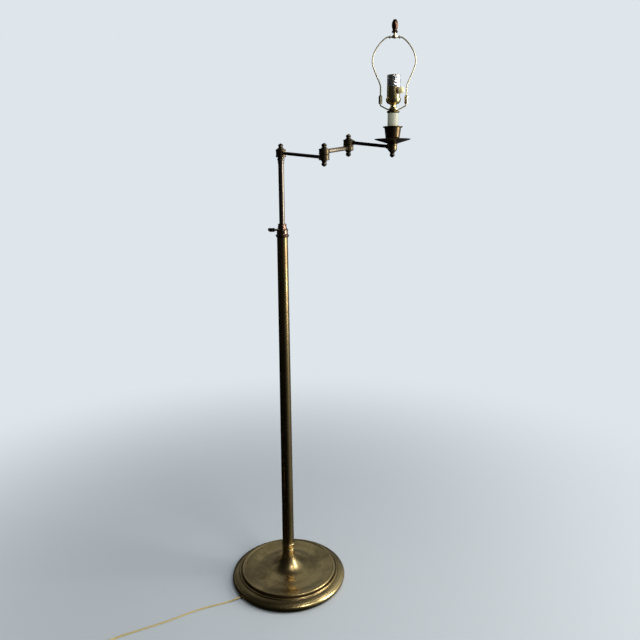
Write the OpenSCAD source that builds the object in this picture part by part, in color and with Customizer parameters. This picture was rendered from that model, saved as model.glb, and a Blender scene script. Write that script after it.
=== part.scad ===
// Bridge floor lamp: a weighted round base, a telescoping column and three jointed
// arms that carry a candle-style socket with a harp. Millimetres, +Z up, with the
// origin at the centre of the base on the floor. The arms reach towards +X.

/* [Base] */
// Largest radius of the base, at its rounded edge
base_r = 160; // [145:1:175]
// Height of the raised lip round the dished top
lip_z = 36.5; // [31:0.5:40]
// How far the raised lip lies inside the base's edge
lip_inset = 26.5; // [20:0.5:34]
// Radius at which the trumpet neck starts to rise from the dish
trumpet_r = 62; // [50:1:75]
// Height of the top of the trumpet neck
trumpet_z = 86; // [76:1:94]
// Radius of the top of the trumpet neck
neck_r = 17; // [16:0.1:18.5]
// Wall of the cast base shell
base_wall = 4; // [3:0.1:5]
// Thickness of the felt pad under the base
felt_t = 2; // [1:0.1:3]
// Height of the neck collar between trumpet and column
neck_collar_h = 28.5; // [24:0.5:33]

/* [Column and post] */
// Outer radius of the column tube at its top
column_r = 13.7; // [13:0.1:15]
// Outer radius of the column tube at its foot
column_foot_r = 16.2; // [15:0.1:17]
// Wall of the column tube
column_wall = 1; // [0.8:0.1:1.6]
// Height of the top of the column tube
column_top = 984; // [900:1:1020]
// Outer radius of the sliding post
post_r = 7; // [6.5:0.1:7.5]
// Wall of the sliding post
post_wall = 1; // [0.8:0.1:1.5]
// Height of the rod in the pole-top knuckle
pole_rod_z = 1180; // [1140:1:1210]
// Length of the sliding post
post_len = 574; // [480:1:640]
// Height of the clamp screw above the top of the column
clamp_rise = 9.2; // [8:0.1:11]

/* [Arms] */
// Length of the inner arm, from pivot to pivot
inner_len = 157.5; // [140:0.5:190]
// Direction of the inner arm, anticlockwise from +X
inner_dir = -49; // [-70:1:-30]
// How far the inner arm drops along its length
inner_drop = 14; // [6:0.1:17]
// Length of the link between the elbows
link_len = 89; // [80:1:110]
// Direction of the link, anticlockwise from +X
link_dir = 48.5; // [30:0.5:70]
// How far the link rises along its length
link_rise = 10.4; // [4:0.1:13]
// Length of the outer arm, from pivot to head
outer_len = 105; // [100:1:140]
// Direction of the outer arm, anticlockwise from +X
outer_dir = -18; // [-30:1:15]
// How far the outer arm drops along its length
outer_drop = 12.2; // [6:0.1:16]
// Radius of the inner and outer arm rods
rod_r = 3.9; // [3.3:0.1:4.2]
// Radius of the link rod
link_r = 5; // [4.4:0.1:5.2]
// Radius of a knuckle hub
hub_r = 12.3; // [11.5:0.1:13.5]
// Height of one elbow hub
hub_h = 12.3; // [11.6:0.1:13.5]
// Height of the pole-top hub
pole_hub_h = 19.2; // [17:0.1:21]
// Radius of the pivot studs
stud_r = 3.175; // [2.8:0.025:3.5]
// Radius of the ball on each finial
ball_r = 6.3; // [5:0.1:7]
// Thickness of a friction washer
washer_t = 0.3; // [0.2:0.05:0.5]

/* [Candle and drip pan] */
// Radius of the drip pan
pan_r = 42; // [36:0.5:48]
// Height of the drip pan's rim above its seat
pan_rise = 10.5; // [7:0.1:14]
// Radius of the candle cup's lip
cup_r = 22.8; // [20:0.1:25]
// Height of the candle cup
cup_h = 37.3; // [32:0.1:42]
// Radius of the candle sleeve
candle_r = 12.2; // [11.6:0.1:13]
// Length of the candle sleeve above the cup
candle_show = 28.5; // [22:0.5:36]
// Radius of the check disc on the candle
disc_r = 14.7; // [14:0.1:16.5]

/* [Socket] */
// Radius of the socket shell
shell_r = 15; // [14.9:0.1:15.6]
// Length of the socket shell
shell_h = 52.5; // [48:0.5:58]
// Inside radius of the screw shell that takes the bulb
screw_r = 13.1; // [13:0.05:13.2]
// Radius of the rim of the socket cap
cap_r = 17; // [16.6:0.1:18]
// Height of the socket cap
cap_h = 14; // [12:0.1:16]
// Direction in which the switch knob points
knob_dir = -48; // [-80:1:-20]
// Radius of the switch knob
knob_r = 6.3; // [5.4:0.1:7]
// Length of the switch knob
knob_len = 12; // [10:0.1:14]

/* [Harp] */
// Half of the distance between the harp's feet
harp_foot = 29.5; // [28:0.5:32]
// Half of the harp's greatest width
harp_half = 48.8; // [46:0.2:54]
// Height of the harp's top above the saddle's upright ends
harp_h = 131; // [120:1:150]
// Radius of the harp wire
wire_r = 1.6; // [1.4:0.05:1.8]
// Radius of a harp ferrule
ferrule_r = 4.2; // [3.6:0.1:4.6]
// Length of a harp ferrule
ferrule_h = 17.5; // [15:0.5:20]
// Largest radius of the harp finial
acorn_r = 7; // [6:0.1:8.5]
// Height of the harp finial
acorn_h = 28; // [24:0.5:34]

/* [Cord] */
// Width of the flat twin cord
cord_w = 5.3; // [5:0.1:5.6]
// Thickness of the flat twin cord
cord_t = 2.7; // [2.5:0.1:2.9]
// Number of loops in each of the two layers of the cord's coil
coil_turns = 4.625; // [3.625:0.5:5.625]

/* [Hidden] */
$fn = 72;

// Radial clearance of pieces that turn or slide in each other, and of pieces screwed together
run_gap = 0.06;
fix_gap = 0.03;
// Clearance between stacked faces
face_gap = 0.05;
eps = 0.01;

// Colours
aged_brass = [0.46, 0.36, 0.18];
dark_brass = [0.22, 0.16, 0.09];
bright_brass = [0.83, 0.68, 0.33];
silver = [0.78, 0.78, 0.76];
ivory = [0.91, 0.87, 0.72];
knob_cream = [0.93, 0.88, 0.6];
brown = [0.24, 0.14, 0.08];
black = [0.08, 0.08, 0.08];
iron = [0.28, 0.28, 0.29];
felt_green = [0.16, 0.2, 0.16];
copper_tone = [0.5, 0.31, 0.22];
cord_gold = [0.72, 0.6, 0.28];

// ---- curves, sweeps and directions -------------------------------------------------

// Points on an arc about a centre, from one angle to another
function arc(cx, cy, r, from, to, n) =
    [for (i = [0:n]) let (a = from + (to - from) * i / n) [cx + r * cos(a), cy + r * sin(a)]];
// Points on a quarter of an ellipse that leaves level and ends upright
function flare(cx, cy, a, b, n) =
    [for (i = [0:n]) let (t = 90 * i / n) [cx - a * sin(t), cy - b * cos(t)]];
function smooth(t) = t <= 0 ? 0 : t >= 1 ? 1 : t * t * (3 - 2 * t);
function unit(v) = v / norm(v);
// Direction along a list of points at its i-th point
function heading(p, i) = unit(p[min(i + 1, len(p) - 1)] - p[max(i - 1, 0)]);
// A smooth curve through hand-placed points, with n steps between each two
function spline(p, n) = [
    for (i = [0:len(p) - 2], s = [0:n - 1])
        let (
            a = p[max(i - 1, 0)], b = p[i], c = p[i + 1], d = p[min(i + 2, len(p) - 1)], t = s / n
        )
        0.5 * (2 * b + (c - a) * t + (2 * a - 5 * b + 4 * c - d) * t * t
            + (3 * b - a - 3 * c + d) * t * t * t),
    p[len(p) - 1]
];

// Sweeps an oval with half-axes a and b along points p. The first axis lies along
// side, or level where no side is given, and turns by the roll at each point.
module sweep(p, a, b, sides, side = undef, roll = undef) {
    rings = [
        for (i = [0:len(p) - 1])
            let (
                t = heading(p, i),
                level = is_undef(side) ? unit(cross(t, [0, 0, 1])) : side,
                turn = is_undef(roll) ? 0 : roll[i],
                s = level * cos(turn) + unit(cross(level, t)) * sin(turn),
                u = unit(cross(s, t))
            )
            for (k = [0:sides - 1])
                let (w = 360 * (k + 0.5) / sides) p[i] + s * a * cos(w) + u * b * sin(w)
    ];
    last = len(p) - 1;
    faces = concat(
        [for (k = [1:sides - 2]) [0, k + 1, k]],
        [
            for (i = [0:last - 1], k = [0:sides - 1], half = [0, 1])
                let (q = (k + 1) % sides, r0 = i * sides, r1 = r0 + sides)
                half == 0 ? [r0 + k, r0 + q, r1 + q] : [r0 + k, r1 + q, r1 + k]
        ],
        [for (k = [1:sides - 2]) [last * sides, last * sides + k, last * sides + k + 1]]
    );
    polyhedron(rings, faces);
}

// Turns a shape's own +Z to point from one place to another
module aim(from, to) {
    d = to - from;
    translate(from)
        rotate([0, acos(d[2] / norm(d)), atan2(d[1], d[0])])
            children();
}

module ring(r_out, r_in, h) {
    difference() {
        cylinder(r = r_out, h = h);
        translate([0, 0, -eps])
            cylinder(r = r_in, h = h + 2 * eps);
    }
}

// ---- places of the joints ----------------------------------------------------------

hub_step = hub_h + washer_t + 2 * face_gap;
pole_at = [0, 0, pole_rod_z];
elbow_a_at = pole_at + [inner_len * cos(inner_dir), inner_len * sin(inner_dir), -inner_drop];
link_start = elbow_a_at + [0, 0, hub_step];
elbow_b_at = link_start + [link_len * cos(link_dir), link_len * sin(link_dir), link_rise];
outer_start = elbow_b_at + [0, 0, hub_step];
head_at = outer_start + [outer_len * cos(outer_dir), outer_len * sin(outer_dir), -outer_drop];

// ---- base --------------------------------------------------------------------------

lip_round = 4.2;
lip_r = base_r - lip_inset - lip_round;
bead_r = base_r - 21.8;
bead_round = 2;
bead_z = lip_z - 8.2;
edge_round = 9.6;
dish_dip = 5;
dish_z = lip_z - 2;
nipple_r = 4.9;
nipple_bore = 3.6;
nut_h = 5;
nut_r = 11;
weight_r = base_r - 47;
weight_z = felt_t + 4;
weight_top = dish_z - dish_dip - base_wall - face_gap;
recess_z = weight_z + 11;
recess_r = 24;
// Where the cord leaves the base, and how high it passes through the bushing
exit_dir = -144;
exit_z = felt_t + 3.3;
bushing_w = 9;
bushing_h = 5.6;
bushing_in = base_r - 12;
bushing_out = base_r + 1.5;

// Height of the dished top, level at its rim and where the trumpet starts
function dish_at(s) = dish_z - dish_dip * (1 - cos(360 * s)) / 2;
dish_r = lip_r - 4;
dish = [for (i = [0:16]) [dish_r - (dish_r - trumpet_r) * i / 16, dish_at(i / 16)]];
base_outline = concat(
    [[base_r - 6, felt_t]],
    arc(base_r - edge_round, felt_t + edge_round, edge_round, -65, 62, 16),
    [
        [base_r - 8.4, bead_z - 5.8],
        [base_r - 12, bead_z - 3.8],
        [base_r - 16, bead_z - 2.4],
        [base_r - 18.6, bead_z - 1.7],
        [base_r - 19.6, bead_z - 2.2]
    ],
    arc(bead_r, bead_z, bead_round, -48, 200, 12),
    [[bead_r - 2.3, bead_z - 2.4], [lip_r + lip_round + 0.6, bead_z - 2.4]],
    arc(lip_r, lip_z - lip_round, lip_round, -20, 112, 14),
    dish
);
trumpet_curve = flare(trumpet_r, trumpet_z, trumpet_r - neck_r, trumpet_z - dish_z, 20);
trumpet_inside = flare(
    trumpet_r, trumpet_z, trumpet_r - neck_r + base_wall, trumpet_z - dish_z + base_wall, 20
);

module base_shell() {
    under = concat(
        [
            [base_r - 6 - base_wall, felt_t],
            [base_r - 7 - base_wall, felt_t + 10],
            [base_r - 13 - base_wall, bead_z - 8.4],
            [base_r - 20 - base_wall, bead_z - 7.4],
            [lip_r - 2, bead_z - 6.4],
            [lip_r - 9, bead_z - 5]
        ],
        [for (i = [4:16]) dish[i] - [0, base_wall]],
        [for (i = [1:20]) trumpet_inside[i]]
    );
    outline = concat(
        base_outline,
        [for (i = [1:20]) trumpet_curve[i]],
        [for (i = [len(under) - 1:-1:0]) under[i]]
    );
    color(aged_brass)
        difference() {
            rotate_extrude($fn = 144)
                polygon(outline);
            rotate(exit_dir)
                translate([bushing_in - 2, -bushing_w / 2 - fix_gap, felt_t - eps])
                    cube([16, bushing_w + 2 * fix_gap, bushing_h + fix_gap]);
        }
}

module base_weight() {
    color(iron)
        difference() {
            translate([0, 0, weight_z])
                cylinder(r = weight_r, h = weight_top - weight_z, $fn = 96);
            translate([0, 0, weight_z - eps])
                cylinder(r = recess_r, h = recess_z - weight_z);
            translate([0, 0, weight_z - 1])
                cylinder(r = nipple_r + fix_gap, h = weight_top);
        }
}

module base_felt() {
    color(felt_green)
        cylinder(r = base_r - 6, h = felt_t, $fn = 96);
}

neck_z = trumpet_z + face_gap;
column_z = neck_z + neck_collar_h - 8;

module base_nipple() {
    nipple_z = recess_z - nut_h - 1;
    color(iron)
        translate([0, 0, nipple_z])
            ring(nipple_r, nipple_bore, column_z - 2 - nipple_z);
}

module base_nut() {
    color(iron)
        translate([0, 0, recess_z - nut_h - face_gap])
            difference() {
                cylinder(r = nut_r, h = nut_h, $fn = 6);
                translate([0, 0, -eps])
                    cylinder(r = nipple_r + fix_gap, h = nut_h + 2 * eps);
            }
}

module neck_collar() {
    h = neck_collar_h;
    outline = concat(
        [[nipple_r + fix_gap, 0], [neck_r - 0.8, 0]],
        arc(neck_r - 1, h * 0.09, 1.2, -80, 60, 6),
        [[neck_r - 0.8, h * 0.16]],
        arc(neck_r - 1.6, h * 0.28, 2.4, -60, 60, 8),
        [[column_foot_r + 0.9, h * 0.42], [column_foot_r + 0.5, h * 0.5], [column_foot_r + 0.9, h * 0.6]],
        arc(neck_r - 1.3, h * 0.8, 3.3, -55, 60, 8),
        [
            [column_foot_r + 0.8, h * 0.94],
            [column_foot_r + 0.5, h],
            [column_foot_r + fix_gap, h],
            [column_foot_r + fix_gap, column_z - neck_z - face_gap],
            [nipple_r + fix_gap, column_z - neck_z - face_gap]
        ]
    );
    color(aged_brass)
        translate([0, 0, neck_z])
            rotate_extrude()
                polygon(outline);
}

module cord_bushing() {
    color(black)
        rotate(exit_dir)
            translate([bushing_in, 0, felt_t + face_gap])
                difference() {
                    translate([0, -bushing_w / 2, 0])
                        cube([bushing_out - bushing_in, bushing_w, bushing_h - face_gap]);
                    translate([-1, -cord_w / 2 - 0.3, exit_z - felt_t - cord_t / 2 - 0.3])
                        cube([20, cord_w + 0.6, cord_t + 0.6]);
                }
}

// ---- column, collar and clamp screw ------------------------------------------------

collar_skirt = 9.4;
collar_h = 34;
clamp_bead_r = column_r + 1.4;
collar_z = column_top - collar_skirt;
liner_r = post_r + 1.5;
liner_z = column_top + 1;
liner_h = collar_h - collar_skirt - 4.5;
clamp_z = column_top + clamp_rise;
screw_stem_r = 2.5;
pad_t = 1.5;
pad_x = post_r + 0.2;

module column_tube() {
    color(aged_brass)
        translate([0, 0, column_z])
            rotate_extrude($fn = 96)
                polygon([
                    [column_foot_r, 0],
                    [column_r, column_top - column_z],
                    [column_r - column_wall, column_top - column_z],
                    [column_foot_r - column_wall, 0]
                ]);
}

module column_collar() {
    top_r = post_r + 3.7;
    outline = concat(
        [[column_r + fix_gap, 0], [column_r + 1.2, 0], [column_r + 1.6, 1.4]],
        arc(column_r + 1.7, 4.6, 1.8, -75, 75, 8),
        [[column_r + 1.4, 7.2], [column_r + 0.2, 9.6], [column_r + 0.2, 14.6]],
        arc(clamp_bead_r - 1.7, clamp_rise + collar_skirt, 1.7, -70, 70, 8),
        [[top_r + 1.5, 21.6], [top_r + 0.8, 23.2], [top_r - 0.2, 28.6]],
        arc(top_r - 1.3, 31.3, 1.7, -65, 75, 8),
        [
            [top_r - 1, collar_h],
            [post_r + 0.35, collar_h],
            [post_r + 0.35, collar_h - 3.4],
            [liner_r + fix_gap, collar_h - 3.4],
            [liner_r + fix_gap, collar_skirt + 0.9],
            [post_r + 1.8, collar_skirt + 0.9],
            [post_r + 1.8, collar_skirt + face_gap],
            [column_r + fix_gap, collar_skirt + face_gap]
        ]
    );
    color(copper_tone)
        difference() {
            translate([0, 0, collar_z])
                rotate_extrude()
                    polygon(outline);
            translate([0, 0, clamp_z])
                rotate([0, -90, 0])
                    cylinder(r = screw_stem_r + run_gap, h = 30);
        }
}

module collar_liner() {
    color(ivory)
        difference() {
            translate([0, 0, liner_z])
                ring(liner_r, post_r + run_gap, liner_h);
            translate([0, 0, clamp_z])
                rotate([0, -90, 0])
                    cylinder(r = screw_stem_r + run_gap, h = 30);
        }
}

module clamp_pad() {
    color(bright_brass)
        translate([-pad_x, 0, clamp_z])
            rotate([0, -90, 0])
                cylinder(r = screw_stem_r, h = pad_t);
}

// The screw's flat thumb paddle has a shallow dimple on each side of its middle
module thumbscrew() {
    stem_end = clamp_bead_r + 1.2;
    stem_start = pad_x + pad_t + face_gap;
    paddle_l = 18.5;
    paddle_w = 9.6;
    paddle_t = 3.4;
    color(dark_brass)
        translate([0, 0, clamp_z])
            rotate([0, -90, 0]) {
                translate([0, 0, stem_start])
                    cylinder(r = screw_stem_r, h = stem_end - stem_start + 2);
                translate([0, 0, stem_end])
                    cylinder(r1 = screw_stem_r, r2 = 3.4, h = 3);
                translate([0, 0, stem_end + 1.5])
                    difference() {
                        rotate([90, 0, 0])
                            translate([0, 0, -paddle_t / 2])
                                linear_extrude(paddle_t)
                                    polygon([
                                        [-paddle_w * 0.3, 0],
                                        [paddle_w * 0.3, 0],
                                        [paddle_w / 2, paddle_l * 0.16],
                                        [paddle_w * 0.46, paddle_l * 0.5],
                                        [paddle_w / 2, paddle_l * 0.84],
                                        [paddle_w * 0.3, paddle_l],
                                        [-paddle_w * 0.25, paddle_l * 0.94],
                                        [-paddle_w / 2, paddle_l * 0.72],
                                        [-paddle_w / 2, paddle_l * 0.16]
                                    ]);
                        for (s = [-1, 1], z = [0.3, 0.7])
                            translate([0, s * (paddle_t / 2 + 1.8), paddle_l * z])
                                sphere(r = 3, $fn = 36);
                    }
            }
}

// ---- sliding post and its pole-top pivot -------------------------------------------

pole_hub_z = pole_rod_z - pole_hub_h / 2 - 0.7;
post_cap_top = pole_hub_z - washer_t - 2 * face_gap;
post_top = post_cap_top - 6;
post_z = post_top - post_len;
guide_h = 24;

module post_guide() {
    color(black)
        translate([0, 0, post_z + 4])
            ring(column_r - column_wall - run_gap, post_r + run_gap, guide_h);
}

// The post has a small flange above and below the guide that it turns in
module post_tube() {
    color(aged_brass) {
        translate([0, 0, post_z])
            ring(post_r, post_r - post_wall, post_len);
        for (z = [post_z + 4 - face_gap - 2, post_z + 4 + guide_h + face_gap])
            translate([0, 0, z])
                ring(post_r + 2.5, post_r - eps, 2);
    }
}

module post_cap() {
    outline = [
        [post_r + fix_gap, -9],
        [post_r + 0.5, -9],
        [post_r + 0.8, -7],
        [post_r + 1.1, -1],
        [post_r + 1.5, 0],
        [post_r + 2.1, 0.6],
        [post_r + 2.1, 3],
        [post_r + 1.4, 3.7],
        [post_r + 0.9, 4.6],
        [post_r + 0.9, 6],
        [stud_r + fix_gap, 6],
        [stud_r + fix_gap, face_gap],
        [post_r + fix_gap, face_gap]
    ];
    color(aged_brass)
        translate([0, 0, post_top])
            rotate_extrude()
                polygon(outline);
}

pole_stack_top = pole_hub_z + pole_hub_h + face_gap;

module pole_pivot() {
    color(iron) {
        translate([0, 0, post_top - 3])
            cylinder(r = stud_r, h = pole_stack_top + stud_grip - post_top + 3);
        translate([0, 0, post_top - 3])
            cylinder(r = post_r - post_wall - fix_gap, h = 3 - face_gap);
    }
}

module friction_washer(z_at) {
    color(bright_brass)
        translate(z_at)
            ring(washer_r, stud_r + run_gap, washer_t);
}

module pole_washer() {
    friction_washer([0, 0, post_cap_top + face_gap]);
}

// A turned finial: a flared skirt, a waist and a flattened ball with a nub, bored for its stud
stud_grip = 5;
module finial(skirt_r, skirt_h, waist_r, ball, ball_h) {
    waist_at = asin(sqrt(1 - pow(waist_r / ball, 2)));
    ball_z = skirt_h + ball_h * sin(waist_at);
    outline = concat(
        [[stud_r + fix_gap, 0], [skirt_r - 0.4, 0], [skirt_r, 0.5]],
        [
            for (i = [0:5])
                [waist_r + (skirt_r - 0.1 - waist_r) * pow(1 - i / 5, 2), 1.2 + (skirt_h - 1.2) * i / 5]
        ],
        [
            for (i = [1:8])
                let (a = -waist_at + (waist_at + 74) * i / 8)
                [ball * cos(a), ball_z + ball_h * sin(a)]
        ],
        [[1.2, ball_z + ball_h + 0.5], [0, ball_z + ball_h + 0.8]],
        [[0, stud_grip + 0.3], [stud_r + fix_gap, stud_grip + 0.3]]
    );
    rotate_extrude()
        polygon(outline);
}

module pole_finial() {
    color(dark_brass)
        translate([0, 0, pole_stack_top])
            finial(9.2, 6, 5, ball_r, ball_r * 0.7);
}

// ---- knuckle hubs and arms ---------------------------------------------------------

boss_extra = 1.6;
boss_out = 2.6;
boss_inset = 0.2;
rod_seat = stud_r + 2.4;
washer_r = 7;

// A round hub on a stud, with a boss bored for a rod that leaves towards aim_at
module knuckle_hub(at, aim_at, h, z_mid, rod, bore, hub_r = hub_r) {
    groove = 0.5;
    outline = [
        [bore, 0],
        [hub_r - 0.9, 0],
        [hub_r, 0.9],
        [hub_r, h * 0.22],
        [hub_r - groove, h * 0.27],
        [hub_r - groove, h * 0.73],
        [hub_r, h * 0.78],
        [hub_r, h - 0.9],
        [hub_r - 0.9, h],
        [bore, h]
    ];
    difference() {
        union() {
            translate(at - [0, 0, z_mid])
                rotate_extrude()
                    polygon(outline);
            // The boss is faced off level with the hub, clear of what turns against it
            intersection() {
                aim(at, aim_at)
                    translate([0, 0, washer_r + 0.3])
                        cylinder(
                            r = min(rod + boss_extra, hub_h / 2 - boss_inset),
                            h = hub_r + boss_out - washer_r - 0.3
                        );
                translate(at - [0, 0, z_mid - boss_inset])
                    cylinder(r = hub_r + 2 * boss_out, h = h - 2 * boss_inset);
            }
        }
        translate(at - [0, 0, z_mid + 1])
            cylinder(r = bore, h = h + 2);
        aim(at, aim_at)
            translate([0, 0, rod_seat])
                cylinder(r = rod + fix_gap, h = hub_r + boss_out);
        aim(at, aim_at)
            cylinder(r = 1.8, h = hub_r);
    }
}

// A hollow rod between two hubs, seated in both bosses
module arm_rod(from, to, rod) {
    aim(from, to)
        translate([0, 0, rod_seat + face_gap])
            ring(rod, rod - 1, norm(to - from) - 2 * (rod_seat + face_gap));
}

module elbow_stud(at) {
    color(iron)
        translate(at - [0, 0, hub_h / 2 + stud_grip])
            cylinder(r = stud_r, h = hub_step + hub_h + 2 * stud_grip);
}

module elbow_finials(at) {
    color(dark_brass) {
        translate(at + [0, 0, hub_step + hub_h / 2 + face_gap])
            finial(7.9, 5, 5, ball_r, ball_r * 0.7);
        translate(at - [0, 0, hub_h / 2 + face_gap])
            mirror([0, 0, 1])
                finial(7.4, 5.2, 5, ball_r, ball_r * 0.84);
    }
}

module elbow_washer(at) {
    friction_washer(at + [0, 0, hub_h / 2 + face_gap]);
}

turn_bore = stud_r + run_gap;
fixed_bore = stud_r + fix_gap;

module inner_arm_hub() {
    color(aged_brass)
        knuckle_hub(
            pole_at, elbow_a_at, pole_hub_h, pole_rod_z - pole_hub_z, rod_r, turn_bore
        );
}

module inner_arm_rod() {
    color(dark_brass)
        arm_rod(pole_at, elbow_a_at, rod_r);
}

module elbow_a_hub() {
    color(aged_brass)
        knuckle_hub(elbow_a_at, pole_at, hub_h, hub_h / 2, rod_r, fixed_bore);
}

module elbow_a_stud() {
    elbow_stud(elbow_a_at);
}

module elbow_a_washer() {
    elbow_washer(elbow_a_at);
}

module elbow_a_finials() {
    elbow_finials(elbow_a_at);
}

module link_start_hub() {
    color(aged_brass)
        knuckle_hub(link_start, elbow_b_at, hub_h, hub_h / 2, link_r, turn_bore);
}

module link_rod() {
    color(aged_brass)
        arm_rod(link_start, elbow_b_at, link_r);
}

module link_end_hub() {
    color(aged_brass)
        knuckle_hub(elbow_b_at, link_start, hub_h, hub_h / 2, link_r, fixed_bore);
}

module elbow_b_stud() {
    elbow_stud(elbow_b_at);
}

module elbow_b_washer() {
    elbow_washer(elbow_b_at);
}

module elbow_b_finials() {
    elbow_finials(elbow_b_at);
}

module outer_arm_hub() {
    color(aged_brass)
        knuckle_hub(outer_start, head_at, hub_h, hub_h / 2, rod_r, turn_bore);
}

module outer_arm_rod() {
    color(dark_brass)
        arm_rod(outer_start, head_at, rod_r);
}

// ---- head: drip pan, candle and socket ---------------------------------------------

head_hub_h = 13.8;
head_hub_r = 11;
pan_seat = head_hub_h / 2 + face_gap;
pan_t = 1.4;
cup_z = pan_seat + pan_t + face_gap;
cup_floor = 8.8;
candle_top = cup_z + cup_h + candle_show;
disc_h = 7.4;
disc_z = candle_top + face_gap;
saddle_z = disc_z + disc_h + face_gap;
saddle_t = 1.5;
socket_neck_z = saddle_z + saddle_t + face_gap;
socket_neck_h = 9.6;
cap_z = socket_neck_z + socket_neck_h + face_gap;
cap_wall = 0.9;
shell_z = cap_z + cap_h - 4;
shell_wall = 0.6;
liner_wall = 0.6;
nipple_top = cap_z + 3.5;
head_bore = nipple_r + fix_gap;

module head_hub() {
    color(aged_brass)
        difference() {
            knuckle_hub(
                head_at, outer_start, head_hub_h, head_hub_h / 2, rod_r, fixed_bore, head_hub_r
            );
            translate(head_at + [0, 0, 3.9])
                cylinder(r = head_bore, h = head_hub_h);
        }
}

module head_stud() {
    color(iron)
        translate(head_at - [0, 0, head_hub_h / 2 + stud_grip])
            cylinder(r = stud_r, h = head_hub_h / 2 + stud_grip);
}

module head_finial() {
    color(dark_brass)
        translate(head_at - [0, 0, head_hub_h / 2 + face_gap])
            mirror([0, 0, 1])
                finial(9.6, 8.2, 5, ball_r - 0.4, ball_r * 0.84);
}

module head_nipple() {
    color(iron)
        translate(head_at + [0, 0, 4])
            ring(nipple_r, nipple_bore, nipple_top - 4);
}

module drip_pan() {
    z = pan_seat;
    outline = [
        [head_bore, z],
        [11.6, z],
        [14, z + 1.1],
        [pan_r * 0.62, z + pan_rise * 0.44],
        [pan_r - 2.4, z + pan_rise * 0.82],
        [pan_r - 0.3, z + pan_rise * 0.96],
        [pan_r, z + pan_rise],
        [pan_r - 0.6, z + pan_rise + 0.2],
        [pan_r - 3, z + pan_rise * 0.82 + pan_t],
        [pan_r * 0.62, z + pan_rise * 0.44 + pan_t],
        [14, z + 1.1 + pan_t],
        [11.6, z + pan_t],
        [head_bore, z + pan_t]
    ];
    color(aged_brass)
        translate(head_at)
            rotate_extrude()
                polygon(outline);
}

module candle_cup() {
    wall = 1.2;
    lip = 3.6;
    body_top = cup_h - lip;
    low_r = cup_r * 0.72;
    high_r = cup_r * 0.84;
    outline = concat(
        [[head_bore, 0], [7.4, 0]],
        arc(6.6, 2.4, 2.3, -60, 50, 6),
        [[8.6, 5], [low_r * 0.72, 6.6], [low_r * 0.93, 9.4]],
        [[low_r, 13], [high_r, body_top], [cup_r - 1.6, body_top + 0.8]],
        arc(cup_r - 1.3, body_top + 2, 1.3, -60, 100, 8),
        [
            [high_r - wall + 0.6, body_top + 2.4],
            [high_r - wall, body_top],
            [low_r - wall, 13],
            [low_r * 0.93 - wall, 10.8],
            [candle_r + 0.3, cup_floor + 0.6],
            [candle_r + 0.3, cup_floor],
            [head_bore, cup_floor]
        ]
    );
    color(aged_brass)
        translate(head_at + [0, 0, cup_z])
            rotate_extrude()
                polygon(outline);
}

module candle_sleeve() {
    z = cup_z + cup_floor + face_gap;
    color(ivory)
        translate(head_at + [0, 0, z])
            ring(candle_r, candle_r - 1.3, candle_top - z);
}

module check_disc() {
    h = disc_h;
    outline = concat(
        [[head_bore, -3], [candle_r - 1.4, -3], [candle_r - 1.4, 0]],
        [[disc_r - 2.2, 0]],
        arc(disc_r - 2, h * 0.42, 2, -70, 70, 8),
        [[disc_r - 3.6, h - 1.4], [disc_r - 5.4, h - 0.6], [disc_r - 5.6, h], [head_bore, h]]
    );
    color(bright_brass)
        translate(head_at + [0, 0, disc_z])
            rotate_extrude()
                polygon(outline);
}

saddle_post_z = saddle_z + 9.5;
saddle_top = saddle_post_z + 13;
foot_z = saddle_top + 0.4;

saddle_r = 12.2;

// The saddle's two arms bend out and up from a flat ring that the socket clamps down
module harp_saddle() {
    arm_x = saddle_r - 0.6;
    color(bright_brass)
        translate(head_at) {
            translate([0, 0, saddle_z])
                ring(saddle_r, head_bore, saddle_t);
            for (s = [-1, 1])
                sweep(
                    concat(
                        [[s * arm_x, 0, saddle_z + saddle_t / 2], [s * (arm_x + 2.4), 0, saddle_z + 1.3]],
                        [[s * (harp_foot - 4), 0, saddle_post_z - 2.4]],
                        [
                            for (a = [30:30:90])
                                [
                                    s * (harp_foot - 3.2 + 3.2 * sin(a)),
                                    0,
                                    saddle_post_z + 1.6 - 3.2 * cos(a)
                                ]
                        ],
                        [[s * harp_foot, 0, saddle_top]]
                    ),
                    wire_r, wire_r, 8, [0, s, 0]
                );
            for (s = [-1, 1])
                translate([s * harp_foot, 0, saddle_post_z + 2.6])
                    cylinder(r = wire_r + 1.2, h = 1.2);
        }
}

module socket_neck() {
    h = socket_neck_h;
    outline = [
        [head_bore, 0],
        [9.2, 0],
        [9.2, 1.2],
        [8.4, 2.2],
        [6.9, 4.6],
        [6.3, 7],
        [6.4, 8.6],
        [7.6, h],
        [head_bore, h]
    ];
    color(bright_brass)
        translate(head_at + [0, 0, socket_neck_z])
            rotate_extrude()
                polygon(outline);
}

module socket_cap() {
    h = cap_h;
    bulge = cap_r - 8;
    outer = concat(
        [[8, 0]],
        arc(8, h * 0.72, bulge, -82, 0, 10),
        [[cap_r, h - 1.2], [cap_r - 0.5, h - 0.3], [shell_r + 0.9, h]]
    );
    inner = concat(
        [[shell_r + 0.05, h], [shell_r + 0.05, h * 0.72]],
        arc(7.6, h * 0.72, shell_r - 7.6, -8, -78, 8),
        [[head_bore, h * 0.72 - shell_r + 7.6]]
    );
    color(bright_brass)
        translate(head_at + [0, 0, cap_z])
            rotate_extrude()
                polygon(concat([[head_bore, 0]], outer, inner));
}

shell_inner = shell_r - shell_wall;
knob_z = shell_z + 19;
shaft_r = 2;

module knob_axis() {
    translate(head_at + [0, 0, knob_z])
        rotate([0, 90, knob_dir])
            children();
}

module socket_shell() {
    color(bright_brass)
        difference() {
            translate(head_at + [0, 0, shell_z]) {
                ring(shell_r, shell_inner, shell_h);
                translate([0, 0, shell_h - 1.4])
                    ring(shell_r + 0.35, shell_r - eps, 1.2);
            }
            knob_axis()
                cylinder(r = shaft_r + 1, h = 30);
        }
}

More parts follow.
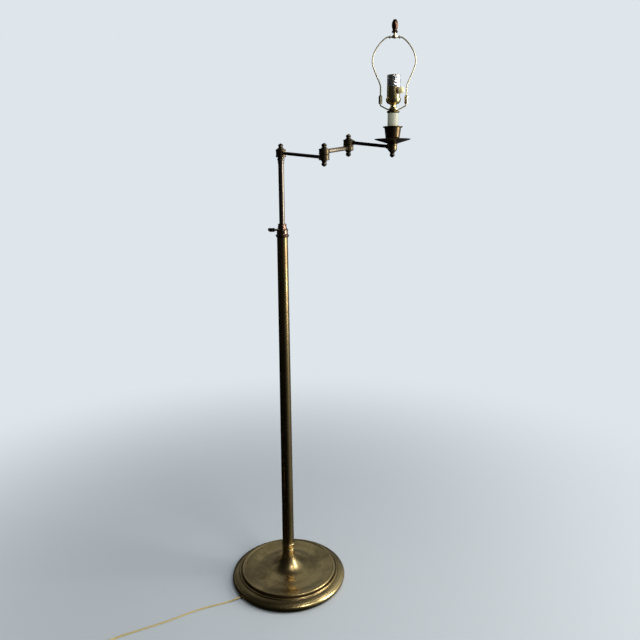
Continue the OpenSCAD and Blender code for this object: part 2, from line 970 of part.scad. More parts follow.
module insulator_liner() {
    color(brown)
        difference() {
            translate(head_at + [0, 0, shell_z + 1])
                ring(shell_inner - 0.04, shell_inner - 0.04 - liner_wall, shell_h);
            knob_axis()
                cylinder(r = shaft_r + 0.6, h = 30);
        }
}

body_r = shell_inner - 0.04 - liner_wall - 0.04;
body_h = 25;
contact_r = 4;
cell_floor = 0.6;

module switch_body() {
    color(black)
        difference() {
            translate(head_at + [0, 0, shell_z + 1]) {
                cylinder(r = body_r, h = body_h);
                translate([0, 0, body_h - eps])
                    cylinder(r = contact_r, h = cell_floor);
            }
            knob_axis()
                translate([0, 0, 4])
                    cylinder(r = shaft_r + run_gap, h = 30);
        }
}

screw_h = shell_h - body_h - 3;

module screw_shell() {
    color(silver)
        translate(head_at + [0, 0, shell_z + 1 + body_h + face_gap]) {
            ring(body_r, screw_r, screw_h);
            ring(body_r - eps, contact_r + 1, cell_floor);
        }
}

escutcheon_t = 1.6;
escutcheon_x = shell_r + 0.1;
knob_x = escutcheon_x + escutcheon_t + 0.35;

module switch_escutcheon() {
    color(brown)
        knob_axis()
            difference() {
                translate([0, 0, escutcheon_x - 1.2])
                    ring(8, shaft_r + 0.3, escutcheon_t + 1.2);
                rotate([0, -90, 0])
                    translate([0, 0, -20])
                        cylinder(r = escutcheon_x, h = 40);
            }
}

module switch_knob() {
    color(knob_cream)
        knob_axis() {
            difference() {
                translate([0, 0, knob_x]) {
                    cylinder(r1 = knob_r * 0.78, r2 = knob_r, h = knob_len * 0.3);
                    translate([0, 0, knob_len * 0.3])
                        cylinder(r = knob_r, h = knob_len * 0.5);
                    translate([0, 0, knob_len * 0.8])
                        cylinder(r1 = knob_r, r2 = knob_r * 0.66, h = knob_len * 0.2);
                }
                for (a = [0:30:330])
                    rotate(a)
                        translate([knob_r + 0.5, 0, knob_x - 1])
                            cylinder(r = 1.1, h = knob_len * 0.8 + 1, $fn = 24);
            }
            translate([0, 0, 5])
                cylinder(r = shaft_r, h = knob_x - 5 + eps);
        }
}

// ---- harp --------------------------------------------------------------------------

harp_top = foot_z + harp_h;
rib_x = 10.6;
hat_r = 6.1;
flat_r = hat_r + 1.2;
flat_t = 2;

// The right half of the harp, from its foot to the flat at its top
harp_side = spline(
    [
        [harp_foot, 0, foot_z],
        [harp_foot, 0, foot_z + harp_h * 0.1],
        [harp_foot + 0.2, 0, foot_z + harp_h * 0.2],
        [harp_foot + (harp_half - harp_foot) * 0.14, 0, foot_z + harp_h * 0.27],
        [harp_foot + (harp_half - harp_foot) * 0.72, 0, foot_z + harp_h * 0.46],
        [harp_half, 0, foot_z + harp_h * 0.61],
        [harp_half * 0.91, 0, foot_z + harp_h * 0.76],
        [harp_half * 0.66, 0, foot_z + harp_h * 0.9],
        [harp_half * 0.4, 0, foot_z + harp_h * 0.985],
        [rib_x + 1.5, 0, harp_top],
        [hat_r + 0.4, 0, harp_top]
    ],
    4
);

module harp_wire() {
    color(bright_brass)
        translate(head_at) {
            for (s = [-1, 1]) {
                sweep([for (p = harp_side) [s * p[0], 0, p[2]]], wire_r, wire_r, 12, [0, -s, 0]);
                translate([s * rib_x, 0, harp_top])
                    rotate([0, 90, 0])
                        translate([0, 0, -0.9])
                            cylinder(r = wire_r + 1.7, h = 1.8);
            }
            translate([0, 0, harp_top - flat_t / 2])
                ring(flat_r, pin_r + run_gap, flat_t);
        }
}

ferrule_z = saddle_post_z + 4;

module ferrule(s) {
    color(bright_brass)
        translate(head_at + [s * harp_foot, 0, ferrule_z])
            difference() {
                union() {
                    cylinder(r = ferrule_r, h = ferrule_h - 1.6);
                    translate([0, 0, ferrule_h - 1.6])
                        cylinder(r1 = ferrule_r, r2 = ferrule_r - 1.2, h = 1.6);
                }
                translate([0, 0, -eps])
                    cylinder(r = wire_r + 0.15, h = ferrule_h + 1);
                translate([0, 0, -eps])
                    cylinder(r1 = wire_r + 1, r2 = wire_r + 0.15, h = 1);
            }
}

module left_ferrule() {
    ferrule(-1);
}

module right_ferrule() {
    ferrule(1);
}

hat_z = harp_top + flat_t / 2 + face_gap;
hat_h = 3;
acorn_z = hat_z + hat_h + 5.4;
stud_top = acorn_z + 9;
thread_r = 3;
pin_r = 2.2;
pin_head_h = 1.4;

// The shade's seat on the harp: a button with a threaded stud above and a riveted
// pin below
module harp_seat() {
    pin_z = hat_z - flat_t - 2 * face_gap - pin_head_h;
    color(bright_brass)
        translate(head_at) {
            translate([0, 0, hat_z])
                cylinder(r = hat_r, h = hat_h * 0.6);
            translate([0, 0, hat_z + hat_h * 0.6])
                cylinder(r1 = hat_r, r2 = thread_r + 0.8, h = hat_h * 0.4);
            translate([0, 0, hat_z + hat_h - eps])
                cylinder(r = thread_r, h = stud_top - hat_z - hat_h);
            translate([0, 0, pin_z])
                cylinder(r = pin_r, h = hat_z - pin_z + eps);
            translate([0, 0, pin_z])
                cylinder(r1 = hat_r * 0.6, r2 = hat_r * 0.75, h = pin_head_h);
        }
}

insert_r = 4.4;

module finial_insert() {
    color(bright_brass)
        translate(head_at + [0, 0, acorn_z + 0.4])
            ring(insert_r, thread_r + run_gap, 8);
}

module harp_finial() {
    h = acorn_h;
    r = acorn_r;
    outline = concat(
        [
            [0, 10.4],
            [insert_r + run_gap, 10.4],
            [insert_r + run_gap, 0],
            [r * 0.9, 0],
            [r * 1.04, 0.7],
            [r * 0.98, 1.6],
            [r * 0.74, 4.2]
        ],
        [
            for (i = [0:14])
                let (t = i / 14)
                [
                    r * (0.72 + 0.28 * sin(min(90, 90 * t / 0.42)))
                        * (t < 0.42 ? 1 : sqrt(max(0, 1 - pow((t - 0.42) / 0.58, 2)))),
                    6 + (h - 6) * t
                ]
        ]
    );
    color(dark_brass)
        translate(head_at + [0, 0, acorn_z])
            rotate_extrude()
                polygon(outline);
}

// ---- cord --------------------------------------------------------------------------

// The cord's centre clears the floor by this much; its height depends on its roll
floor_gap = 0.1;
function half_tall(roll) = norm([cord_w * sin(roll), cord_t * cos(roll)]) / 2;
function half_wide(roll) = norm([cord_w * cos(roll), cord_t * sin(roll)]) / 2;
function rest_z(roll) = floor_gap + half_tall(roll);

exit_r = bushing_in + 1;
exit_at = [exit_r * cos(exit_dir), exit_r * sin(exit_dir), exit_z];

// The cord inside the base: flat under the weight, up the nipple and into the column
module base_lead() {
    low = felt_t + cord_t / 2 + 0.2;
    lead_top = 420;
    route = [
        [exit_r - face_gap, exit_z], [132, low + 0.3], [112, low], [40, low], [22, low],
        [14, low + 0.5], [8.5, low + 2], [4.5, low + 4.4], [1.8, low + 7.2],
        [0.4, low + 10], [0, low + 14], [0, low + 20], [0, lead_top / 4], [0, lead_top / 2], [0, lead_top]
    ];
    color(cord_gold)
        sweep(
            [for (q = route) [q[0] * cos(exit_dir), q[0] * sin(exit_dir), q[1]]],
            cord_w / 2, cord_t / 2, 8, [sin(exit_dir), -cos(exit_dir), 0]
        );
}

// The coil stands the cord on its edge. Its loops run clockwise from the side that
// the cord comes in at, spiral in, climb and spiral out again on top.
coil_at = [-511, -320, 0];
coil_r = 40;
coil_steps = 24;
coil_pitch = cord_t + 1;
coil_layer = cord_w + 1;
coil_climb = 0.26;
coil_total = 2 * coil_turns;
function coil_radius(u) = coil_r - coil_pitch * min(u, coil_total - u);
function coil_point(u) =
    let (r = coil_radius(u), rise = smooth((u - coil_turns) / coil_climb + 0.5))
    coil_at + [r * cos(360 * u), -r * sin(360 * u), rest_z(90) + coil_layer * rise];
coil_loops = [for (i = [0:coil_total * coil_steps]) coil_point(i / coil_steps)];
coil_in = coil_loops[0] + [0, cord_w, 0];

// From the last loop the cord swings out beside the coil, turns flat and comes down to
// the plug, which lies along the coil's side
plug_t = 11;
plug_z = floor_gap + plug_t / 2;
tail_out = 17;
tail_turn = 0.25;
tail_steps = 6;
coil_top = coil_loops[len(coil_loops) - 1][2];
tail = [
    for (i = [1:tail_steps])
        let (t = i / tail_steps, a = 360 * (coil_total + tail_turn * t))
        [
            coil_at[0] + (coil_r + tail_out * smooth(t)) * cos(a),
            coil_at[1] - (coil_r + tail_out * smooth(t)) * sin(a),
            coil_top + (plug_z - coil_top) * smooth(t)
        ]
];
plug_dir = -90 - 360 * (coil_total + tail_turn);
tail_way = [cos(plug_dir), sin(plug_dir), 0];
tail_end = tail[tail_steps - 1] + tail_way * cord_w;
coil_points = concat([coil_in], coil_loops, tail, [tail_end]);
coil_roll = concat(
    [for (i = [0:len(coil_loops)]) 90],
    [for (i = [1:tail_steps]) 90 * (1 - smooth(i / tail_steps))],
    [0]
);

// The cord's free run over the floor, from the bushing to the coil, each point with
// its roll: the cord leaves the base flat and stands up on its edge for the coil
cord_route = [
    [-143, -102, 4.2, 0],
    [-161, -109, 2, 0],
    [-184, -118, rest_z(0), 0],
    [-222, -132, rest_z(0), 0],
    [-259, -150, rest_z(0), 0],
    [-309, -179, rest_z(0), 0],
    [-375, -211, rest_z(0), 0],
    [-425, -236, rest_z(20), 20],
    [-455, -262, rest_z(60), 60],
    [-469, -292, rest_z(90), 90]
];
cord_line = spline(
    concat([[for (v = exit_at) v], [-129.5, -94.1, exit_z]], [for (q = cord_route) [q[0], q[1], q[2]]]),
    3
);
cord_rolls = spline(concat([0, 0], [for (q = cord_route) q[3]]), 3);

module power_cord() {
    color(cord_gold)
        sweep(
            concat(cord_line, [coil_in + [0, 8, 0], coil_in + [0, face_gap, 0]]),
            cord_w / 2, cord_t / 2, 8, undef, concat(cord_rolls, [90, 90])
        );
}

module cord_coil() {
    color(cord_gold)
        sweep(coil_points, cord_w / 2, cord_t / 2, 6, undef, coil_roll);
}

// Least gap between the coil's turns, measured on its points
function turn_gap(i, j) =
    let (a = coil_points[i], b = coil_points[j], ra = coil_roll[i], rb = coil_roll[j])
    max(
        norm([a[0] - b[0], a[1] - b[1]]) - half_wide(ra) - half_wide(rb),
        abs(a[2] - b[2]) - half_tall(ra) - half_tall(rb)
    );
echo(
    coil_least_gap = min([
        for (i = [0:len(coil_points) - 1])
            for (j = [i + coil_steps / 2:len(coil_points) - 1])
                turn_gap(i, j)
    ])
);

plug_l = 26;
plug_w = 20;
blade_l = 17;
blade_w = 6.3;
blade_t = 1.5;
blade_gap = 12.7;
blade_in = 4.9;

module plug_frame() {
    translate(tail_end)
        rotate(plug_dir)
            children();
}

// The plug rests on its wide face; its blades sit in two slots
module plug_body() {
    nose = 7;
    color(black)
        plug_frame()
            difference() {
                union() {
                    translate([face_gap, -cord_w / 2 - 1.2, -cord_t / 2 - 1])
                        cube([nose + 1, cord_w + 2.4, cord_t + 2]);
                    translate([nose, 0, -plug_t / 2])
                        linear_extrude(plug_t)
                            polygon([
                                [0, -plug_w * 0.32],
                                [0, plug_w * 0.32],
                                [4, plug_w / 2],
                                [plug_l - nose, plug_w / 2],
                                [plug_l - nose, -plug_w / 2],
                                [4, -plug_w / 2]
                            ]);
                }
                for (s = [-1, 1])
                    translate([
                        plug_l - blade_in - face_gap,
                        s * blade_gap / 2 - blade_t / 2 - face_gap,
                        -blade_w / 2 - face_gap
                    ])
                        cube([10, blade_t + 2 * face_gap, blade_w + 2 * face_gap]);
            }
}

module plug_blades() {
    color(bright_brass)
        plug_frame()
            for (s = [-1, 1])
                translate([plug_l - blade_in, s * blade_gap / 2 - blade_t / 2, -blade_w / 2])
                    cube([blade_in + blade_l, blade_t, blade_w]);
}

// ---- the lamp ----------------------------------------------------------------------

base_shell();
base_weight();
base_felt();
base_nipple();
base_nut();
neck_collar();
column_tube();
column_collar();
collar_liner();
cord_bushing();
base_lead();
power_cord();
cord_coil();
plug_body();
plug_blades();
clamp_pad();
thumbscrew();
post_guide();
post_tube();
post_cap();
pole_pivot();
pole_washer();
pole_finial();
inner_arm_hub();
inner_arm_rod();
elbow_a_hub();
elbow_a_stud();
elbow_a_washer();
elbow_a_finials();
link_start_hub();
link_rod();
link_end_hub();
elbow_b_stud();
elbow_b_washer();
elbow_b_finials();
outer_arm_hub();
outer_arm_rod();
head_hub();
head_stud();
head_finial();
head_nipple();
drip_pan();
candle_cup();
candle_sleeve();
check_disc();
harp_saddle();
socket_neck();
socket_cap();
socket_shell();
insulator_liner();
switch_body();
screw_shell();
switch_escutcheon();
switch_knob();
harp_wire();
left_ferrule();
right_ferrule();
harp_seat();
finial_insert();
harp_finial();
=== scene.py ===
"""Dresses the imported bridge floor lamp: finishes for its metal, candle, socket and base,
and the pieces that need a softer shape than a machined solid. Metres, +Z up."""

import math

import bmesh
import bpy
from mathutils import Matrix, Vector


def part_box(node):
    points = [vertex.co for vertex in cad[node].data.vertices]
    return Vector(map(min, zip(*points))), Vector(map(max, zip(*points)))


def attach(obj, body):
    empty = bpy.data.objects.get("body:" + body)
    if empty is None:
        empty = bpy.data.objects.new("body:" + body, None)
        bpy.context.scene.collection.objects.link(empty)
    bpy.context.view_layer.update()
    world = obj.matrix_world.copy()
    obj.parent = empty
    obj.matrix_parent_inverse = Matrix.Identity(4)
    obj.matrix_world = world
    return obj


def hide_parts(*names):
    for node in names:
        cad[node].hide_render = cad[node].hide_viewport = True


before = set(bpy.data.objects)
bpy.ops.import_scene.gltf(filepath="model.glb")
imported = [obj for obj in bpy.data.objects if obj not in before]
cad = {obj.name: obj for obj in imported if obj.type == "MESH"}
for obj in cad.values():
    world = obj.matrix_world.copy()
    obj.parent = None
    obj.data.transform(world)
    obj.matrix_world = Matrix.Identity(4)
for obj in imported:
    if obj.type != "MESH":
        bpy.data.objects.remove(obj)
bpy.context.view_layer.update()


# The studio: a camera at the photograph's height and tilt, a pale floor that fades into a
# pale surround, and soft light from the front right, which leaves the lamp's left side dark.
CAMERA_AT = (0.0700, -1.559, 1.1294)
CAMERA_YAW, CAMERA_PITCH, CAMERA_ROLL = 0.873, 13.357, -0.315
CAMERA_LENS = 34.58
SURROUND = (0.73, 0.79, 0.83, 1)
FLOOR_NEAR = (0.50, 0.54, 0.57, 1)
WINDOW_SIDE = (0.98, 0.06, 0.12)
DIM_SIDE, WINDOW_LEVEL, WINDOW_FOCUS, FILL_LEVEL = 0.012, 1.1, 2.6, 0.40
BACK_LEVEL, BACK_TURN, BACK_RISE = 0.36, (0.15, 0.60), (-0.08, 0.50)
NEAR_FLOOR_LEVEL, DIM_FLOOR_REACH, FLOOR_FADE = 0.34, (1.0, 7.0), (0.4, 1.9)
WARM, COOL = (1, 0.98, 0.95), (0.92, 0.96, 1)

camera = bpy.data.objects.new("camera", bpy.data.cameras.new("camera"))
bpy.context.scene.collection.objects.link(camera)
camera.data.lens = CAMERA_LENS
camera.matrix_world = (
    Matrix.Translation(CAMERA_AT)
    @ Matrix.Rotation(math.radians(-CAMERA_YAW), 4, "Z")
    @ Matrix.Rotation(math.radians(90 - CAMERA_PITCH), 4, "X")
    @ Matrix.Rotation(math.radians(CAMERA_ROLL), 4, "Z")
)
bpy.context.scene.camera = camera
bpy.context.scene.view_settings.view_transform = "Standard"


def soft_light(name, at, towards, size, watts, colour=(1, 1, 1)):
    lamp = bpy.data.lights.new(name, "AREA")
    lamp.shape = "RECTANGLE"
    lamp.size, lamp.size_y = size
    lamp.energy = watts
    lamp.color = colour
    holder = bpy.data.objects.new(name, lamp)
    bpy.context.scene.collection.objects.link(holder)
    holder.location = at
    holder.rotation_euler = (Vector(towards) - Vector(at)).to_track_quat("-Z", "Y").to_euler()
    return holder


soft_light("window", (2.7, -0.5, 1.35), (0.1, 0, 0.8), (1.0, 2.4), 70, WARM)
soft_light("front", (1.5, -1.9, 2.5), (0.0, 0, 0.2), (0.8, 1.0), 26, WARM)
soft_light("top", (0.6, -0.2, 3.2), (0.1, 0, 0), (1.2, 1.2), 20).visible_glossy = False
soft_light("back", (0.9, 2.6, 1.8), (0, 0, 0.8), (0.8, 1.8), 7, COOL).visible_glossy = False


def side_level(tree, direction):
    """How bright the room shows in a reflection: pale towards the window, dim away from it."""
    along = tree.nodes.new("ShaderNodeVectorMath")
    along.operation = "DOT_PRODUCT"
    along.inputs[1].default_value = WINDOW_SIDE
    tree.links.new(direction, along.inputs[0])
    value = along.outputs["Value"]
    for operation, number in (
        ("MAXIMUM", 0.0), ("POWER", WINDOW_FOCUS), ("MULTIPLY", WINDOW_LEVEL), ("ADD", DIM_SIDE)
    ):
        step = tree.nodes.new("ShaderNodeMath")
        step.operation = operation
        step.inputs[1].default_value = number
        tree.links.new(value, step.inputs[0])
        value = step.outputs[0]
    return value


def seen_level(tree, shiny):
    """Strength by kind of ray: 1 for the camera, the room's level in gloss, else the fill."""
    path = tree.nodes.new("ShaderNodeLightPath")
    gloss = tree.nodes.new("ShaderNodeMath")
    gloss.operation = "MAXIMUM"
    tree.links.new(path.outputs["Is Glossy Ray"], gloss.inputs[0])
    tree.links.new(path.outputs["Is Transmission Ray"], gloss.inputs[1])
    level = tree.nodes.new("ShaderNodeMix")
    level.inputs["A"].default_value = FILL_LEVEL
    tree.links.new(gloss.outputs[0], level.inputs["Factor"])
    tree.links.new(shiny, level.inputs["B"])
    seen = tree.nodes.new("ShaderNodeMix")
    seen.inputs["B"].default_value = 1.0
    tree.links.new(path.outputs["Is Camera Ray"], seen.inputs["Factor"])
    tree.links.new(level.outputs["Result"], seen.inputs["A"])
    return seen.outputs["Result"]


world = bpy.data.worlds.new("surround")
bpy.context.scene.world = world
world.use_nodes = True
wt = world.node_tree
wt.nodes.clear()
w_out = wt.nodes.new("ShaderNodeOutputWorld")
w_back = wt.nodes.new("ShaderNodeBackground")
w_back.inputs["Color"].default_value = SURROUND
w_where = wt.nodes.new("ShaderNodeTexCoord")
w_split = wt.nodes.new("ShaderNodeSeparateXYZ")
wt.links.new(w_where.outputs["Generated"], w_split.inputs[0])
# The wall behind the lamp is a dim patch, fading in towards the back and above the floor
w_wall = wt.nodes.new("ShaderNodeMath")
w_wall.operation = "MULTIPLY"
for slot_at, axis, limits, level in ((0, "Y", BACK_TURN, BACK_LEVEL), (1, "Z", BACK_RISE, 1.0)):
    w_part = wt.nodes.new("ShaderNodeMapRange")
    w_part.interpolation_type = "SMOOTHSTEP"
    w_part.inputs["From Min"].default_value, w_part.inputs["From Max"].default_value = limits
    w_part.inputs["To Max"].default_value = level
    wt.links.new(w_split.outputs[axis], w_part.inputs["Value"])
    wt.links.new(w_part.outputs["Result"], w_wall.inputs[slot_at])
w_room = wt.nodes.new("ShaderNodeMath")
w_room.operation = "MAXIMUM"
wt.links.new(side_level(wt, w_where.outputs["Generated"]), w_room.inputs[0])
wt.links.new(w_wall.outputs[0], w_room.inputs[1])
wt.links.new(seen_level(wt, w_room.outputs[0]), w_back.inputs["Strength"])
wt.links.new(w_back.outputs[0], w_out.inputs["Surface"])

bpy.ops.object.select_all(action="DESELECT")
bpy.ops.mesh.primitive_circle_add(vertices=96, radius=30, fill_type="NGON", location=(0, 0, 0))
floor = bpy.context.object
floor.name = "floor"
floor_look = bpy.data.materials.new("floor")
floor_look.use_nodes = True
ft = floor_look.node_tree
ft.nodes.clear()
f_out = ft.nodes.new("ShaderNodeOutputMaterial")
f_mix = ft.nodes.new("ShaderNodeMixShader")
f_near = ft.nodes.new("ShaderNodeBsdfPrincipled")
f_near.inputs["Base Color"].default_value = FLOOR_NEAR
f_near.inputs["Roughness"].default_value = 0.75
f_far = ft.nodes.new("ShaderNodeEmission")
f_far.inputs["Color"].default_value = SURROUND
f_where = ft.nodes.new("ShaderNodeTexCoord")
f_reach = ft.nodes.new("ShaderNodeVectorMath")
f_reach.operation = "LENGTH"
f_way = ft.nodes.new("ShaderNodeVectorMath")
f_way.operation = "NORMALIZE"
f_fade = ft.nodes.new("ShaderNodeMapRange")
f_fade.interpolation_type = "SMOOTHSTEP"
f_fade.inputs["From Min"].default_value, f_fade.inputs["From Max"].default_value = FLOOR_FADE
ft.links.new(f_where.outputs["Object"], f_reach.inputs[0])
ft.links.new(f_where.outputs["Object"], f_way.inputs[0])
ft.links.new(f_reach.outputs["Value"], f_fade.inputs["Value"])
f_near_far = ft.nodes.new("ShaderNodeMapRange")
f_near_far.interpolation_type = "SMOOTHSTEP"
f_near_far.inputs["From Min"].default_value, f_near_far.inputs["From Max"].default_value = DIM_FLOOR_REACH
f_near_far.inputs["To Min"].default_value = NEAR_FLOOR_LEVEL
ft.links.new(f_reach.outputs["Value"], f_near_far.inputs["Value"])
f_side = ft.nodes.new("ShaderNodeMath")
f_side.operation = "MULTIPLY"
ft.links.new(side_level(ft, f_way.outputs[0]), f_side.inputs[0])
ft.links.new(f_near_far.outputs["Result"], f_side.inputs[1])
ft.links.new(seen_level(ft, f_side.outputs[0]), f_far.inputs["Strength"])
# Metal shows the floor as part of the dim room, and the camera sees it lit, with its shadows
f_path = ft.nodes.new("ShaderNodeLightPath")
f_plain = ft.nodes.new("ShaderNodeMath")
f_plain.operation = "MAXIMUM"
ft.links.new(f_fade.outputs["Result"], f_plain.inputs[0])
ft.links.new(f_path.outputs["Is Glossy Ray"], f_plain.inputs[1])
ft.links.new(f_plain.outputs[0], f_mix.inputs["Fac"])
ft.links.new(f_near.outputs[0], f_mix.inputs[1])
ft.links.new(f_far.outputs[0], f_mix.inputs[2])
ft.links.new(f_mix.outputs[0], f_out.inputs["Surface"])
floor.data.materials.append(floor_look)


# The base shell: spun brass with an antique lacquer, held down by a cast weight. Polish has
# worn through on its lip, bead and rolled edge, and the grooves between them stay dark.
BASE_BRIGHT = (0.60, 0.45, 0.205, 1)
BASE_DULL = (0.235, 0.170, 0.078, 1)
LIP_R, BEAD_R, EDGE_R = 0.1303, 0.1382, 0.160


def new_group(name, inputs, outputs):
    group = bpy.data.node_groups.new(name, "ShaderNodeTree")
    for label, kind, value in inputs:
        socket = group.interface.new_socket(name=label, in_out="INPUT", socket_type=kind)
        socket.default_value = value
    for label, kind in outputs:
        group.interface.new_socket(name=label, in_out="OUTPUT", socket_type=kind)
    return group


def math_node(tree, operation, a, b=None):
    step = tree.nodes.new("ShaderNodeMath")
    step.operation = operation
    for slot_at, value in enumerate((a, b)):
        if isinstance(value, (int, float)):
            step.inputs[slot_at].default_value = value
        elif value is not None:
            tree.links.new(value, step.inputs[slot_at])
    return step.outputs[0]


def spread(tree, value, low, high, to_low=0.0, to_high=1.0):
    step = tree.nodes.new("ShaderNodeMapRange")
    step.interpolation_type = "SMOOTHSTEP"
    for label, number in (
        ("From Min", low), ("From Max", high), ("To Min", to_low), ("To Max", to_high)
    ):
        if isinstance(number, (int, float)):
            step.inputs[label].default_value = number
        else:
            tree.links.new(number, step.inputs[label])
    tree.links.new(value, step.inputs["Value"])
    return step.outputs["Result"]


def noise(tree, where, scale, detail=4.0, rough=0.55):
    step = tree.nodes.new("ShaderNodeTexNoise")
    step.inputs["Detail"].default_value = detail
    step.inputs["Roughness"].default_value = rough
    if isinstance(scale, (int, float)):
        step.inputs["Scale"].default_value = scale
    else:
        tree.links.new(scale, step.inputs["Scale"])
    tree.links.new(where, step.inputs["Vector"])
    return step.outputs["Fac"]


def blend_colours(tree, factor, a, b):
    step = tree.nodes.new("ShaderNodeMix")
    step.data_type = "RGBA"
    tree.links.new(factor, step.inputs["Factor"])
    for label, value in (("A", a), ("B", b)):
        socket = next(s for s in step.inputs if s.name == label and s.type == "RGBA")
        if isinstance(value, tuple):
            socket.default_value = value
        else:
            tree.links.new(value, socket)
    return next(s for s in step.outputs if s.type == "RGBA")


# Cloudy tarnish: a mask of slow clouds broken by small specks, with the colour between a
# dull and a bright metal, its roughness, and a height for the slight waviness of spun metal.
SPECK_RATIO, CLOUD_SHARE, SPECK_SHARE = 17, 0.80, 0.20
GRAIN_SCALE, GRAIN_ROUGH, WAVE_SCALE, WAVE_DEPTH = 900, 0.03, 55, 0.003
tarnish = new_group(
    "tarnish",
    [
        ("Bright", "NodeSocketColor", (1, 1, 1, 1)),
        ("Dull", "NodeSocketColor", (0, 0, 0, 1)),
        ("Wear", "NodeSocketFloat", 0.5),
        ("Scale", "NodeSocketFloat", 10.0),
        ("Smooth", "NodeSocketFloat", 0.2),
        ("Rough", "NodeSocketFloat", 0.4),
    ],
    [("Color", "NodeSocketColor"), ("Roughness", "NodeSocketFloat"), ("Height", "NodeSocketFloat")],
)
t_in = tarnish.nodes.new("NodeGroupInput")
t_out = tarnish.nodes.new("NodeGroupOutput")
t_where = tarnish.nodes.new("ShaderNodeTexCoord").outputs["Object"]
t_clouds = noise(tarnish, t_where, t_in.outputs["Scale"], 5, 0.6)
t_specks = noise(tarnish, t_where, math_node(tarnish, "MULTIPLY", t_in.outputs["Scale"], SPECK_RATIO), 3)
t_grain = noise(tarnish, t_where, GRAIN_SCALE, 2)
t_wave = noise(tarnish, t_where, WAVE_SCALE, 1)
t_mask = math_node(
    tarnish, "ADD",
    math_node(tarnish, "MULTIPLY", spread(tarnish, t_clouds, 0.30, 0.70), CLOUD_SHARE),
    math_node(tarnish, "MULTIPLY", spread(tarnish, t_specks, 0.35, 0.65), SPECK_SHARE),
)
t_shift = math_node(tarnish, "ADD", t_mask, math_node(tarnish, "SUBTRACT", t_in.outputs["Wear"], 0.5))
t_final = spread(tarnish, t_shift, 0.0, 1.0)
tarnish.links.new(
    blend_colours(tarnish, t_final, t_in.outputs["Dull"], t_in.outputs["Bright"]), t_out.inputs["Color"]
)
t_rough = spread(tarnish, t_final, 0.0, 1.0, t_in.outputs["Rough"], t_in.outputs["Smooth"])
tarnish.links.new(
    math_node(tarnish, "ADD", t_rough, spread(tarnish, t_grain, 0.3, 0.7, -GRAIN_ROUGH, GRAIN_ROUGH)),
    t_out.inputs["Roughness"],
)
tarnish.links.new(t_wave, t_out.inputs["Height"])

# Fine lines left by buffing: rings about an upright axis through Centre, or streaks along
# the height of a tube, as a small change of roughness.
RING_BREAK, STREAK_BREAK, BUFF_ROUGH = 1.2, 9, 0.05
buffing = new_group(
    "buffing",
    [
        ("Centre", "NodeSocketVector", (0, 0, 0)),
        ("Rings", "NodeSocketFloat", 900.0),
        ("Streaks", "NodeSocketFloat", 0.0),
    ],
    [("Shift", "NodeSocketFloat")],
)
b_in = buffing.nodes.new("NodeGroupInput")
b_out = buffing.nodes.new("NodeGroupOutput")
b_where = buffing.nodes.new("ShaderNodeTexCoord").outputs["Object"]
b_off = buffing.nodes.new("ShaderNodeVectorMath")
b_off.operation = "SUBTRACT"
buffing.links.new(b_where, b_off.inputs[0])
buffing.links.new(b_in.outputs["Centre"], b_off.inputs[1])
b_split = buffing.nodes.new("ShaderNodeSeparateXYZ")
buffing.links.new(b_off.outputs[0], b_split.inputs[0])
b_x, b_y, b_z = b_split.outputs
b_radius = math_node(
    buffing, "SQRT",
    math_node(
        buffing, "ADD", math_node(buffing, "MULTIPLY", b_x, b_x), math_node(buffing, "MULTIPLY", b_y, b_y)
    ),
)
b_angle = math_node(buffing, "ARCTAN2", b_y, b_x)
b_rings = buffing.nodes.new("ShaderNodeCombineXYZ")
buffing.links.new(math_node(buffing, "MULTIPLY", b_radius, b_in.outputs["Rings"]), b_rings.inputs[0])
buffing.links.new(math_node(buffing, "MULTIPLY", b_z, b_in.outputs["Rings"]), b_rings.inputs[1])
buffing.links.new(math_node(buffing, "MULTIPLY", b_angle, RING_BREAK), b_rings.inputs[2])
b_streaks = buffing.nodes.new("ShaderNodeCombineXYZ")
buffing.links.new(math_node(buffing, "MULTIPLY", b_angle, b_in.outputs["Streaks"]), b_streaks.inputs[0])
buffing.links.new(math_node(buffing, "MULTIPLY", b_z, STREAK_BREAK), b_streaks.inputs[1])
b_sum = math_node(
    buffing, "ADD",
    noise(buffing, b_rings.outputs[0], 1.0, 3),
    noise(buffing, b_streaks.outputs[0], 1.0, 3),
)
buffing.links.new(spread(buffing, b_sum, 0.7, 1.3, -BUFF_ROUGH, BUFF_ROUGH), b_out.inputs["Shift"])


def blank_look(name):
    look = bpy.data.materials.new(name)
    look.use_nodes = True
    tree = look.node_tree
    tree.nodes.clear()
    surface = tree.nodes.new("ShaderNodeBsdfPrincipled")
    out = tree.nodes.new("ShaderNodeOutputMaterial")
    tree.links.new(surface.outputs[0], out.inputs["Surface"])
    return look, tree, surface


def add_bump(tree, surface, height, strength, distance=0.0004):
    bump = tree.nodes.new("ShaderNodeBump")
    bump.inputs["Strength"].default_value = strength
    bump.inputs["Distance"].default_value = distance
    tree.links.new(height, bump.inputs["Height"])
    tree.links.new(bump.outputs["Normal"], surface.inputs["Normal"])


